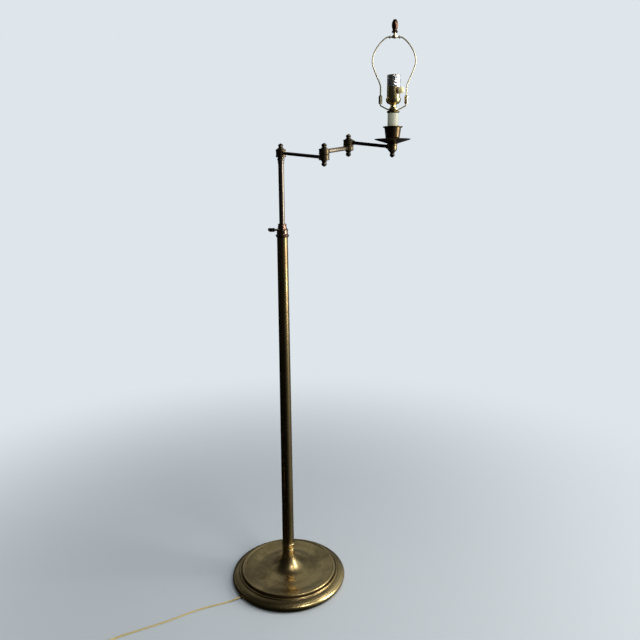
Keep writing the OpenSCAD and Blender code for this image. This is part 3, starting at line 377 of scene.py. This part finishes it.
def metal_look(
    name, bright, dull, wear, scale, smooth, rough, centre=(0, 0, 0), streaks=0.0, bump=0.04
):
    """Brass or steel: tarnish between two colours, buffed round an upright line at centre."""
    look, tree, surface = blank_look(name)
    surface.inputs["Metallic"].default_value = 1.0
    patina = tree.nodes.new("ShaderNodeGroup")
    patina.node_tree = tarnish
    for label, value in (
        ("Bright", bright), ("Dull", dull), ("Wear", wear), ("Scale", scale), ("Smooth", smooth),
        ("Rough", rough),
    ):
        patina.inputs[label].default_value = value
    lines = tree.nodes.new("ShaderNodeGroup")
    lines.node_tree = buffing
    lines.inputs["Centre"].default_value = centre
    lines.inputs["Streaks"].default_value = streaks
    tree.links.new(patina.outputs["Color"], surface.inputs["Base Color"])
    tree.links.new(
        math_node(tree, "ADD", patina.outputs["Roughness"], lines.outputs["Shift"]),
        surface.inputs["Roughness"],
    )
    add_bump(tree, surface, patina.outputs["Height"], bump, WAVE_DEPTH)
    return look, tree, surface, patina


def dress(look, *names):
    for name in names:
        cad[name].data.materials.clear()
        cad[name].data.materials.append(look)


base_look, base_tree, _, base_patina = metal_look(
    "aged base brass", BASE_BRIGHT, BASE_DULL, 0.5, 9, 0.27, 0.38, bump=0.08
)
base_where = base_tree.nodes.new("ShaderNodeTexCoord").outputs["Object"]
base_flat = base_tree.nodes.new("ShaderNodeVectorMath")
base_flat.operation = "MULTIPLY"
base_flat.inputs[1].default_value = (1 / EDGE_R, 1 / EDGE_R, 0)
base_tree.links.new(base_where, base_flat.inputs[0])
base_reach = base_tree.nodes.new("ShaderNodeVectorMath")
base_reach.operation = "LENGTH"
base_tree.links.new(base_flat.outputs[0], base_reach.inputs[0])
base_wear = base_tree.nodes.new("ShaderNodeValToRGB")
RIM_WEAR = [
    (0.0, 0.60), (0.16, 0.60), (0.34, 0.52), (0.60, 0.50), (LIP_R / EDGE_R - 0.045, 0.40),
    (LIP_R / EDGE_R, 0.80), (LIP_R / EDGE_R + 0.018, 0.10), (BEAD_R / EDGE_R - 0.012, -0.1),
    (BEAD_R / EDGE_R, 0.72), (BEAD_R / EDGE_R + 0.016, 0.0), (BEAD_R / EDGE_R + 0.04, 0.40),
    (0.955, 0.50), (0.99, 0.84),
]
stops = base_wear.color_ramp.elements
while len(stops) < len(RIM_WEAR):
    stops.new(0.5)
for stop, (place, level) in zip(stops, RIM_WEAR):
    stop.position = place
    stop.color = (level, level, level, 1)
base_tree.links.new(base_reach.outputs["Value"], base_wear.inputs["Fac"])
base_tree.links.new(base_wear.outputs["Color"], base_patina.inputs["Wear"])
dress(base_look, "base_shell")


# Under the base: the cast weight and its steel fittings, the felt pad that the lamp stands
# on, and the rubber bushing in the slot where the cord comes out.
IRON = (0.10, 0.10, 0.105, 1)
FELT = (0.045, 0.06, 0.045, 1)
RUBBER = (0.012, 0.012, 0.012, 1)


def mottled_look(name, dark, light, scale, detail, roughness, bump=0.0, coarse=0.55):
    """A finish that isn't bare brass: mottled between two colours, with its skin as a bump."""
    look, tree, surface = blank_look(name)
    where = tree.nodes.new("ShaderNodeTexCoord").outputs["Object"]
    mottle = noise(tree, where, scale, detail, coarse)
    tree.links.new(blend_colours(tree, mottle, dark, light), surface.inputs["Base Color"])
    if isinstance(roughness, tuple):
        tree.links.new(spread(tree, mottle, 0.3, 0.7, *roughness), surface.inputs["Roughness"])
    else:
        surface.inputs["Roughness"].default_value = roughness
    if bump:
        add_bump(tree, surface, mottle, bump)
    return look, surface


weight_look, weight_surface = mottled_look(
    "sand cast iron", IRON, (0.17, 0.165, 0.16, 1), 260, 5, (0.5, 0.75), bump=0.6, coarse=0.7
)
weight_surface.inputs["Metallic"].default_value = 0.75
dress(weight_look, "base_weight")

steel_look, *_ = metal_look(
    "zinc plated steel", (0.46, 0.46, 0.45, 1), (0.24, 0.23, 0.21, 1), 0.55, 60, 0.3, 0.5
)
dress(steel_look, "base_nipple", "base_nut", "pole_pivot", "elbow_a_stud", "elbow_b_stud")
dress(steel_look, "head_stud", "head_nipple")

felt_look, felt_surface = mottled_look(
    "pressed felt", FELT, (0.09, 0.11, 0.085, 1), 1400, 4, 0.95, bump=0.8, coarse=0.7
)
felt_surface.inputs["Sheen Weight"].default_value = 0.3
dress(felt_look, "base_felt")

rubber_look, _ = mottled_look("black rubber", RUBBER, (0.03, 0.03, 0.03, 1), 700, 3, (0.5, 0.65), bump=0.3)
dress(rubber_look, "cord_bushing")


# The neck collar and the column: drawn brass tube, lacquered the same antique brown, with
# polishing streaks along it. The collar at its top is a redder casting.
COLUMN_BRIGHT = (0.40, 0.290, 0.130, 1)
COLUMN_DULL = (0.225, 0.155, 0.070, 1)

neck_look, *_ = metal_look("aged neck brass", BASE_BRIGHT, BASE_DULL, 0.5, 30, 0.24, 0.34)
dress(neck_look, "neck_collar")
column_look, *_ = metal_look(
    "aged column brass", COLUMN_BRIGHT, COLUMN_DULL, 0.5, 7, 0.2, 0.3, streaks=26.0
)
dress(column_look, "column_tube")
collar_look, *_ = metal_look(
    "red cast brass", (0.34, 0.205, 0.145, 1), (0.14, 0.07, 0.045, 1), 0.5, 40, 0.18, 0.3
)
dress(collar_look, "column_collar")
nylon_look, nylon_surface = mottled_look(
    "natural nylon", (0.62, 0.58, 0.48, 1), (0.72, 0.69, 0.6, 1), 240, 3, 0.45
)
nylon_surface.inputs["Subsurface Weight"].default_value = 0.1
dress(nylon_look, "collar_liner", "post_guide")


# The clamp: a small bare brass pad, pressed on the post by the thumbscrew through the
# collar's side. The friction washers of the swing joints have the same clean brass.
screw_look, *_ = metal_look(
    "dark thumbscrew brass", (0.20, 0.165, 0.12, 1), (0.05, 0.045, 0.035, 1), 0.45, 50, 0.2, 0.34
)
dress(screw_look, "thumbscrew")
pad_look, *_ = metal_look("bare brass", (0.80, 0.62, 0.28, 1), (0.5, 0.36, 0.15, 1), 0.6, 50, 0.15, 0.3)
dress(pad_look, "clamp_pad", "pole_washer", "elbow_a_washer", "elbow_b_washer")


# The sliding post with its cap, and the knuckles: cast hubs and turned finials, browner
# than the base, with the tarnish rubbed off by hands.
post_look, *_ = metal_look(
    "aged post brass", (0.27, 0.225, 0.170, 1), (0.19, 0.155, 0.112, 1), 0.5, 12, 0.24, 0.32, streaks=8.0
)
dress(post_look, "post_tube", "post_cap")
hub_look, *_ = metal_look(
    "aged hub brass", (0.24, 0.185, 0.095, 1), (0.105, 0.075, 0.042, 1), 0.5, 26, 0.22, 0.34
)
dress(hub_look, "inner_arm_hub", "elbow_a_hub", "link_start_hub", "link_end_hub", "outer_arm_hub")
dress(hub_look, "head_hub")
finial_look, *_ = metal_look(
    "dark finial brass", (0.19, 0.15, 0.095, 1), (0.05, 0.042, 0.032, 1), 0.45, 40, 0.14, 0.28
)
dress(finial_look, "pole_finial", "elbow_a_finials", "elbow_b_finials", "head_finial")
rod_look, *_ = metal_look(
    "dark rod brass", (0.075, 0.060, 0.042, 1), (0.040, 0.033, 0.025, 1), 0.5, 20, 0.22, 0.30
)
dress(rod_look, "inner_arm_rod", "outer_arm_rod")
link_look, *_ = metal_look(
    "coppery link brass", (0.48, 0.40, 0.29, 1), (0.34, 0.27, 0.19, 1), 0.52, 20, 0.28, 0.36
)
dress(link_look, "link_rod")


# The drip pan, candle cup and candle: spun brass below an ivory sleeve with a small brass
# disc on top, which closes the sleeve under the socket.
head_centre = sum(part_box("candle_sleeve"), Vector()) / 2
pan_look, *_ = metal_look(
    "aged pan brass", (0.23, 0.165, 0.075, 1), (0.095, 0.064, 0.032, 1), 0.48, 22, 0.2, 0.3,
    centre=head_centre,
)
dress(pan_look, "drip_pan", "candle_cup")
disc_look, *_ = metal_look(
    "aged disc brass", (0.46, 0.32, 0.13, 1), (0.10, 0.075, 0.035, 1), 0.45, 60, 0.18, 0.34,
    centre=head_centre,
)
dress(disc_look, "check_disc")
candle_look, candle_surface = mottled_look(
    "ivory candle sleeve", (0.46, 0.455, 0.335, 1), (0.55, 0.54, 0.41, 1), 70, 4, (0.36, 0.5), bump=0.15
)
candle_surface.inputs["Subsurface Weight"].default_value = 0.15
candle_surface.inputs["Subsurface Radius"].default_value = (0.004, 0.003, 0.002)
dress(candle_look, "candle_sleeve")


# The socket: polished lacquered brass cap and shell with a fibre liner, a phenolic switch
# body and an aluminium screw shell for the bulb.
polished_look, *_ = metal_look(
    "polished socket brass", (0.78, 0.63, 0.30, 1), (0.60, 0.48, 0.22, 1), 0.6, 24, 0.22, 0.30,
    centre=head_centre,
)
dress(polished_look, "socket_neck", "socket_cap", "socket_shell")
fibre_look, _ = mottled_look(
    "fibre insulator", (0.10, 0.065, 0.035, 1), (0.19, 0.13, 0.07, 1), 500, 5, 0.8, bump=0.3, coarse=0.7
)
dress(fibre_look, "insulator_liner")
dress(rubber_look, "switch_body")
aluminium_look, *_ = metal_look(
    "screw shell aluminium", (0.80, 0.80, 0.79, 1), (0.6, 0.6, 0.6, 1), 0.6, 60, 0.2, 0.35,
    centre=head_centre,
)
dress(aluminium_look, "screw_shell")
escutcheon_look, _ = mottled_look(
    "brown switch plate", (0.05, 0.022, 0.012, 1), (0.13, 0.06, 0.03, 1), 180, 4, 0.25
)
dress(escutcheon_look, "switch_escutcheon")
knob_look, knob_surface = mottled_look(
    "cream switch knob", (0.84, 0.72, 0.34, 1), (0.92, 0.82, 0.46, 1), 220, 4, 0.3
)
knob_surface.inputs["Subsurface Weight"].default_value = 0.1
dress(knob_look, "switch_knob")


# The foil label: a bare strip of crinkled silver foil wrapped round the front of the socket
# shell, stuck down with a thin glue. Its corners are square and nothing is printed on it.
FOIL_THICK, FOIL_GAP, FOIL_ARC = 0.00016, 0.00006, 200
FOIL_HIGH, FOIL_CLEAR, FOIL_CREASE = 0.0518, 0.0004, 0.00007
FOIL_COLUMNS, FOIL_TURN = 60, -68

shell_low, shell_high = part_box("socket_shell")
shell_axis = Vector((head_centre.x, head_centre.y, shell_low.z))
foil_r = (shell_high.y - shell_low.y) / 2 + FOIL_GAP
foil_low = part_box("switch_escutcheon")[1].z + FOIL_CLEAR - shell_low.z
bpy.ops.object.select_all(action="DESELECT")
bpy.ops.mesh.primitive_plane_add(size=1)
foil = bpy.context.object
foil.name = "foil_label"
bpy.ops.object.mode_set(mode="EDIT")
bpy.ops.mesh.subdivide(number_cuts=FOIL_COLUMNS - 1)
bpy.ops.object.mode_set(mode="OBJECT")
for corner in foil.data.vertices:
    across, along = corner.co.x + 0.5, corner.co.y + 0.5
    angle = math.radians(FOIL_TURN + FOIL_ARC * (across - 0.5))
    height = foil_low + (FOIL_HIGH - foil_low) * along
    crease = math.sin(31 * across + 9 * along) * math.sin(17 * along - 23 * across + 2)
    radius = foil_r + FOIL_CREASE * (1 + crease)
    corner.co = shell_axis + Vector((
        radius * math.cos(angle), radius * math.sin(angle), height,
    ))
bpy.ops.object.modifier_add(type="SOLIDIFY")
foil.modifiers[-1].thickness = FOIL_THICK
foil.modifiers[-1].offset = 1
bpy.ops.object.modifier_apply(modifier=foil.modifiers[-1].name)
bpy.ops.object.shade_smooth_by_angle(angle=math.radians(40))
foil_look, foil_tree, foil_surface = blank_look("crinkled silver foil")
foil_where = foil_tree.nodes.new("ShaderNodeTexCoord").outputs["Object"]
foil_folds = foil_tree.nodes.new("ShaderNodeTexVoronoi")
foil_folds.inputs["Scale"].default_value = 210
foil_tree.links.new(foil_where, foil_folds.inputs["Vector"])
foil_fine = noise(foil_tree, foil_where, 500, 3)
# The foil's colour follows the same fold pattern as its bump, lighter on the crinkles and darker between
# them: painted highlight and painted shade on the folds
foil_tree.links.new(
    blend_colours(foil_tree, foil_folds.outputs["Distance"], (0.86, 0.87, 0.86, 1), (0.62, 0.63, 0.62, 1)),
    foil_surface.inputs["Base Color"],
)
foil_surface.inputs["Metallic"].default_value = 1.0
foil_tree.links.new(spread(foil_tree, foil_fine, 0.3, 0.7, 0.22, 0.42), foil_surface.inputs["Roughness"])
add_bump(
    foil_tree, foil_surface,
    foil_folds.outputs["Distance"], 0.6, 0.002,
)
foil.data.materials.append(foil_look)
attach(foil, "outer_arm")


# The harp: spring wire of pale yellow brass, held to its saddle by two sleeves that lift
# off, with a seat for a shade at its top and a brown acorn finial screwed on that.
harp_look, *_ = metal_look(
    "harp brass", (0.78, 0.69, 0.48, 1), (0.62, 0.54, 0.36, 1), 0.5, 14, 0.3, 0.4
)
dress(harp_look, "harp_wire", "harp_saddle", "left_ferrule", "right_ferrule", "harp_seat")
dress(harp_look, "finial_insert")
acorn_look, *_ = metal_look(
    "brown harp finial", (0.20, 0.105, 0.062, 1), (0.045, 0.026, 0.018, 1), 0.45, 90, 0.2, 0.32,
    centre=head_centre,
)
dress(acorn_look, "harp_finial")


# The cord: flat twin lead of clear gold vinyl over two stranded wires, 2.35 m long. It runs
# flat over the floor, stands up on its edge for its coil, and ends in a two-blade plug.
CORD_W, CORD_T = 0.0053, 0.0027
FLOOR_GAP = 0.0001
EXIT = (-0.12136, -0.08817, 0.0053)
COIL_AT = Vector((-0.511, -0.320, 0))
COIL_R, COIL_PITCH, COIL_LAYER = 0.040, CORD_T + 0.001, CORD_W + 0.001
COIL_TURNS, COIL_CLIMB = 4.625, 0.26
COIL_LEAD_IN, PLUG_Z, TAIL_OUT, TAIL_TURN = 0.008, 0.0056, 0.017, 0.25
ROUTE_STEPS, COIL_STEPS, TAIL_STEPS = 6, 48, 12
ROUTE = [
    (-143, -102, 4.2, 0), (-161, -109, 2, 0), (-184, -118, None, 0), (-222, -132, None, 0),
    (-259, -150, None, 0), (-309, -179, None, 0), (-375, -211, None, 0), (-425, -236, None, 20),
    (-455, -262, None, 60), (-469, -292, None, 90),
]


def half_height(roll):
    turn = math.radians(roll)
    return math.hypot(CORD_W * math.sin(turn), CORD_T * math.cos(turn)) / 2


def smooth(t):
    t = min(max(t, 0.0), 1.0)
    return t * t * (3 - 2 * t)


def curve_through(points, steps):
    """A Catmull-Rom curve through the points, each a vector of any length."""
    line = []
    for at in range(len(points) - 1):
        a, b = points[max(at - 1, 0)], points[at]
        c, d = points[at + 1], points[min(at + 2, len(points) - 1)]
        for s in range(steps):
            t = s / steps
            line.append(
                0.5 * (2 * b + (c - a) * t + (2 * a - 5 * b + 4 * c - d) * t ** 2
                       + (3 * b - a - 3 * c + d) * t ** 3)
            )
    return line + [points[-1]]


def coil_point(turn):
    radius = COIL_R - COIL_PITCH * min(turn, 2 * COIL_TURNS - turn)
    rise = smooth((turn - COIL_TURNS) / COIL_CLIMB + 0.5)
    return COIL_AT + Vector((
        radius * math.cos(math.tau * turn), -radius * math.sin(math.tau * turn),
        FLOOR_GAP + half_height(90) + COIL_LAYER * rise,
    ))


hand_points = [Vector((*EXIT, 0)), Vector((-0.1295, -0.0941, 0.0053, 0))] + [
    Vector((x / 1000, y / 1000, FLOOR_GAP + half_height(roll) if z is None else z / 1000, roll))
    for x, y, z, roll in ROUTE
]
line = [
    Vector((x, y, max(z, FLOOR_GAP + half_height(roll)), roll))
    for x, y, z, roll in curve_through(hand_points, ROUTE_STEPS)
]
coil_start = coil_point(0) + Vector((0, CORD_W, 0))
line += [Vector((*(coil_start + Vector((0, COIL_LEAD_IN, 0))), 90)), Vector((*coil_start, 90))]
coil_count = round(2 * COIL_TURNS * COIL_STEPS)
loops = [coil_point(at / COIL_STEPS) for at in range(coil_count + 1)]
line += [Vector((*point, 90)) for point in loops]
for at in range(1, TAIL_STEPS + 1):
    t = at / TAIL_STEPS
    turn = math.tau * (2 * COIL_TURNS + TAIL_TURN * t)
    reach = COIL_R + TAIL_OUT * smooth(t)
    line.append(Vector((
        COIL_AT.x + reach * math.cos(turn), COIL_AT.y - reach * math.sin(turn),
        loops[-1].z + (PLUG_Z - loops[-1].z) * smooth(t), 90 * (1 - smooth(t)),
    )))
plug_way = Vector((-math.sin(turn), -math.cos(turn), 0))
line.append(Vector((*(line[-1].to_3d() + plug_way * CORD_W), 0)))

# Two round lobes with a shallow groove between them on each side
LOBE = [-135, -100, -65, -30, 0, 30, 65, 100, 135]
cord_shape = [
    (side * ((CORD_W - CORD_T) / 2 + CORD_T / 2 * math.cos(math.radians(a))),
     side * CORD_T / 2 * math.sin(math.radians(a)))
    for side in (1, -1) for a in LOBE
]


def sweep_cord(name, path, shape):
    """A closed tube along the path, whose outline is one list or a function of the ring."""
    mesh = bmesh.new()
    rings = []
    travel = [0.0]
    for at, point in enumerate(path):
        ahead = path[min(at + 1, len(path) - 1)].to_3d()
        behind = path[max(at - 1, 0)].to_3d()
        way = (ahead - behind).normalized()
        level = way.cross(Vector((0, 0, 1))).normalized()
        turned = Matrix.Rotation(math.radians(-point[3]), 3, way) @ level
        up = turned.cross(way)
        outline = shape(at) if callable(shape) else shape
        rings.append([mesh.verts.new(point.to_3d() + turned * x + up * y) for x, y in outline])
        if at:
            travel.append(travel[-1] + (point.to_3d() - path[at - 1].to_3d()).length)
    uv = mesh.loops.layers.uv.new("UVMap")
    count = len(rings[0])
    for at in range(len(rings) - 1):
        for k in range(count):
            q = (k + 1) % count
            face = mesh.faces.new((rings[at][k], rings[at][q], rings[at + 1][q], rings[at + 1][k]))
            corners = ((travel[at], k), (travel[at], k + 1), (travel[at + 1], k + 1), (travel[at + 1], k))
            for loop, (along, around) in zip(face.loops, corners):
                loop[uv].uv = (along, around / count)
            face.smooth = True
    mesh.faces.new(reversed(rings[0]))
    mesh.faces.new(rings[-1])
    bmesh.ops.recalc_face_normals(mesh, faces=mesh.faces)
    data = bpy.data.meshes.new(name)
    mesh.to_mesh(data)
    mesh.free()
    piece = bpy.data.objects.new(name, data)
    bpy.context.scene.collection.objects.link(piece)
    return piece, travel[-1]


cord, cord_length = sweep_cord("twin_lead", line, cord_shape)
cord_look, cord_tree, cord_surface = blank_look("clear gold vinyl")
cord_uv = cord_tree.nodes.new("ShaderNodeTexCoord").outputs["UV"]
cord_place = cord_tree.nodes.new("ShaderNodeMapping")
cord_place.inputs["Scale"].default_value = (520, 4, 1)
cord_tree.links.new(cord_uv, cord_place.inputs["Vector"])
cord_strands = cord_tree.nodes.new("ShaderNodeTexWave")
cord_strands.bands_direction = "DIAGONAL"
cord_strands.inputs["Scale"].default_value = 1.0
cord_strands.inputs["Distortion"].default_value = 0.6
cord_tree.links.new(cord_place.outputs[0], cord_strands.inputs["Vector"])
cord_tree.links.new(
    blend_colours(cord_tree, cord_strands.outputs["Fac"], (0.55, 0.40, 0.13, 1), (0.80, 0.66, 0.30, 1)),
    cord_surface.inputs["Base Color"],
)
cord_surface.inputs["Metallic"].default_value = 0.35
cord_surface.inputs["Roughness"].default_value = 0.34
cord_surface.inputs["Coat Weight"].default_value = 0.8
cord_surface.inputs["Coat Roughness"].default_value = 0.12
add_bump(cord_tree, cord_surface, cord_strands.outputs["Fac"], 0.25, 0.0002)
cord.data.materials.append(cord_look)
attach(cord, "base")
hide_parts("power_cord", "cord_coil")
dress(cord_look, "base_lead")


# The plug: a body moulded in dark brown vinyl over the ends of the wires, and two blades
# stamped from brass strip.
plug_look, _ = mottled_look(
    "moulded plug vinyl", (0.050, 0.038, 0.028, 1), (0.075, 0.058, 0.042, 1), 420, 4, 0.4, bump=0.2
)
dress(plug_look, "plug_body")
dress(pad_look, "plug_blades")

# The strain relief: a ribbed vinyl neck moulded on the lead with the plug, thick at the plug
# and tapering to just over the lead's own size.
NECK_LENGTH, NECK_STEP, NECK_RIB = 0.026, 0.0005, 0.0032
NECK_THICK, NECK_THIN, NECK_GROOVE = (0.0062, 0.0044), (0.0034, 0.0021), 0.00045
RIB_SHARE, PLAIN_ENDS, NECK_SIDES, NECK_SQUARE = 0.62, (0.08, 0.94), 28, 0.8

neck_line, neck_walk = [], 0.0
tail = [point.to_3d() for point in line[-2 * TAIL_STEPS:]]
tail_at = [0.0]
for a, b in zip(reversed(tail[1:]), reversed(tail[:-1])):
    tail_at.append(tail_at[-1] + (a - b).length)
tail.reverse()
while neck_walk <= NECK_LENGTH:
    low = max(k for k, place in enumerate(tail_at) if place <= neck_walk)
    share = (neck_walk - tail_at[low]) / (tail_at[low + 1] - tail_at[low])
    neck_line.append(Vector((*tail[low].lerp(tail[low + 1], share), 0)))
    neck_walk += NECK_STEP


def neck_outline(at):
    share = smooth(at / (len(neck_line) - 1))
    between_ribs = (at * NECK_STEP) % NECK_RIB > NECK_RIB * RIB_SHARE
    ribbed = between_ribs and PLAIN_ENDS[0] < share < PLAIN_ENDS[1]
    cut = NECK_GROOVE if ribbed else 0.0
    half_w, half_t = (a + (b - a) * share - cut for a, b in zip(NECK_THICK, NECK_THIN))
    return [
        (half_w * math.copysign(abs(math.cos(a)) ** NECK_SQUARE, math.cos(a)),
         half_t * math.copysign(abs(math.sin(a)) ** NECK_SQUARE, math.sin(a)))
        for a in (math.tau * k / NECK_SIDES for k in range(NECK_SIDES))
    ]


strain_relief, _ = sweep_cord("strain_relief", neck_line, neck_outline)
strain_relief.data.materials.append(plug_look)
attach(strain_relief, "base")
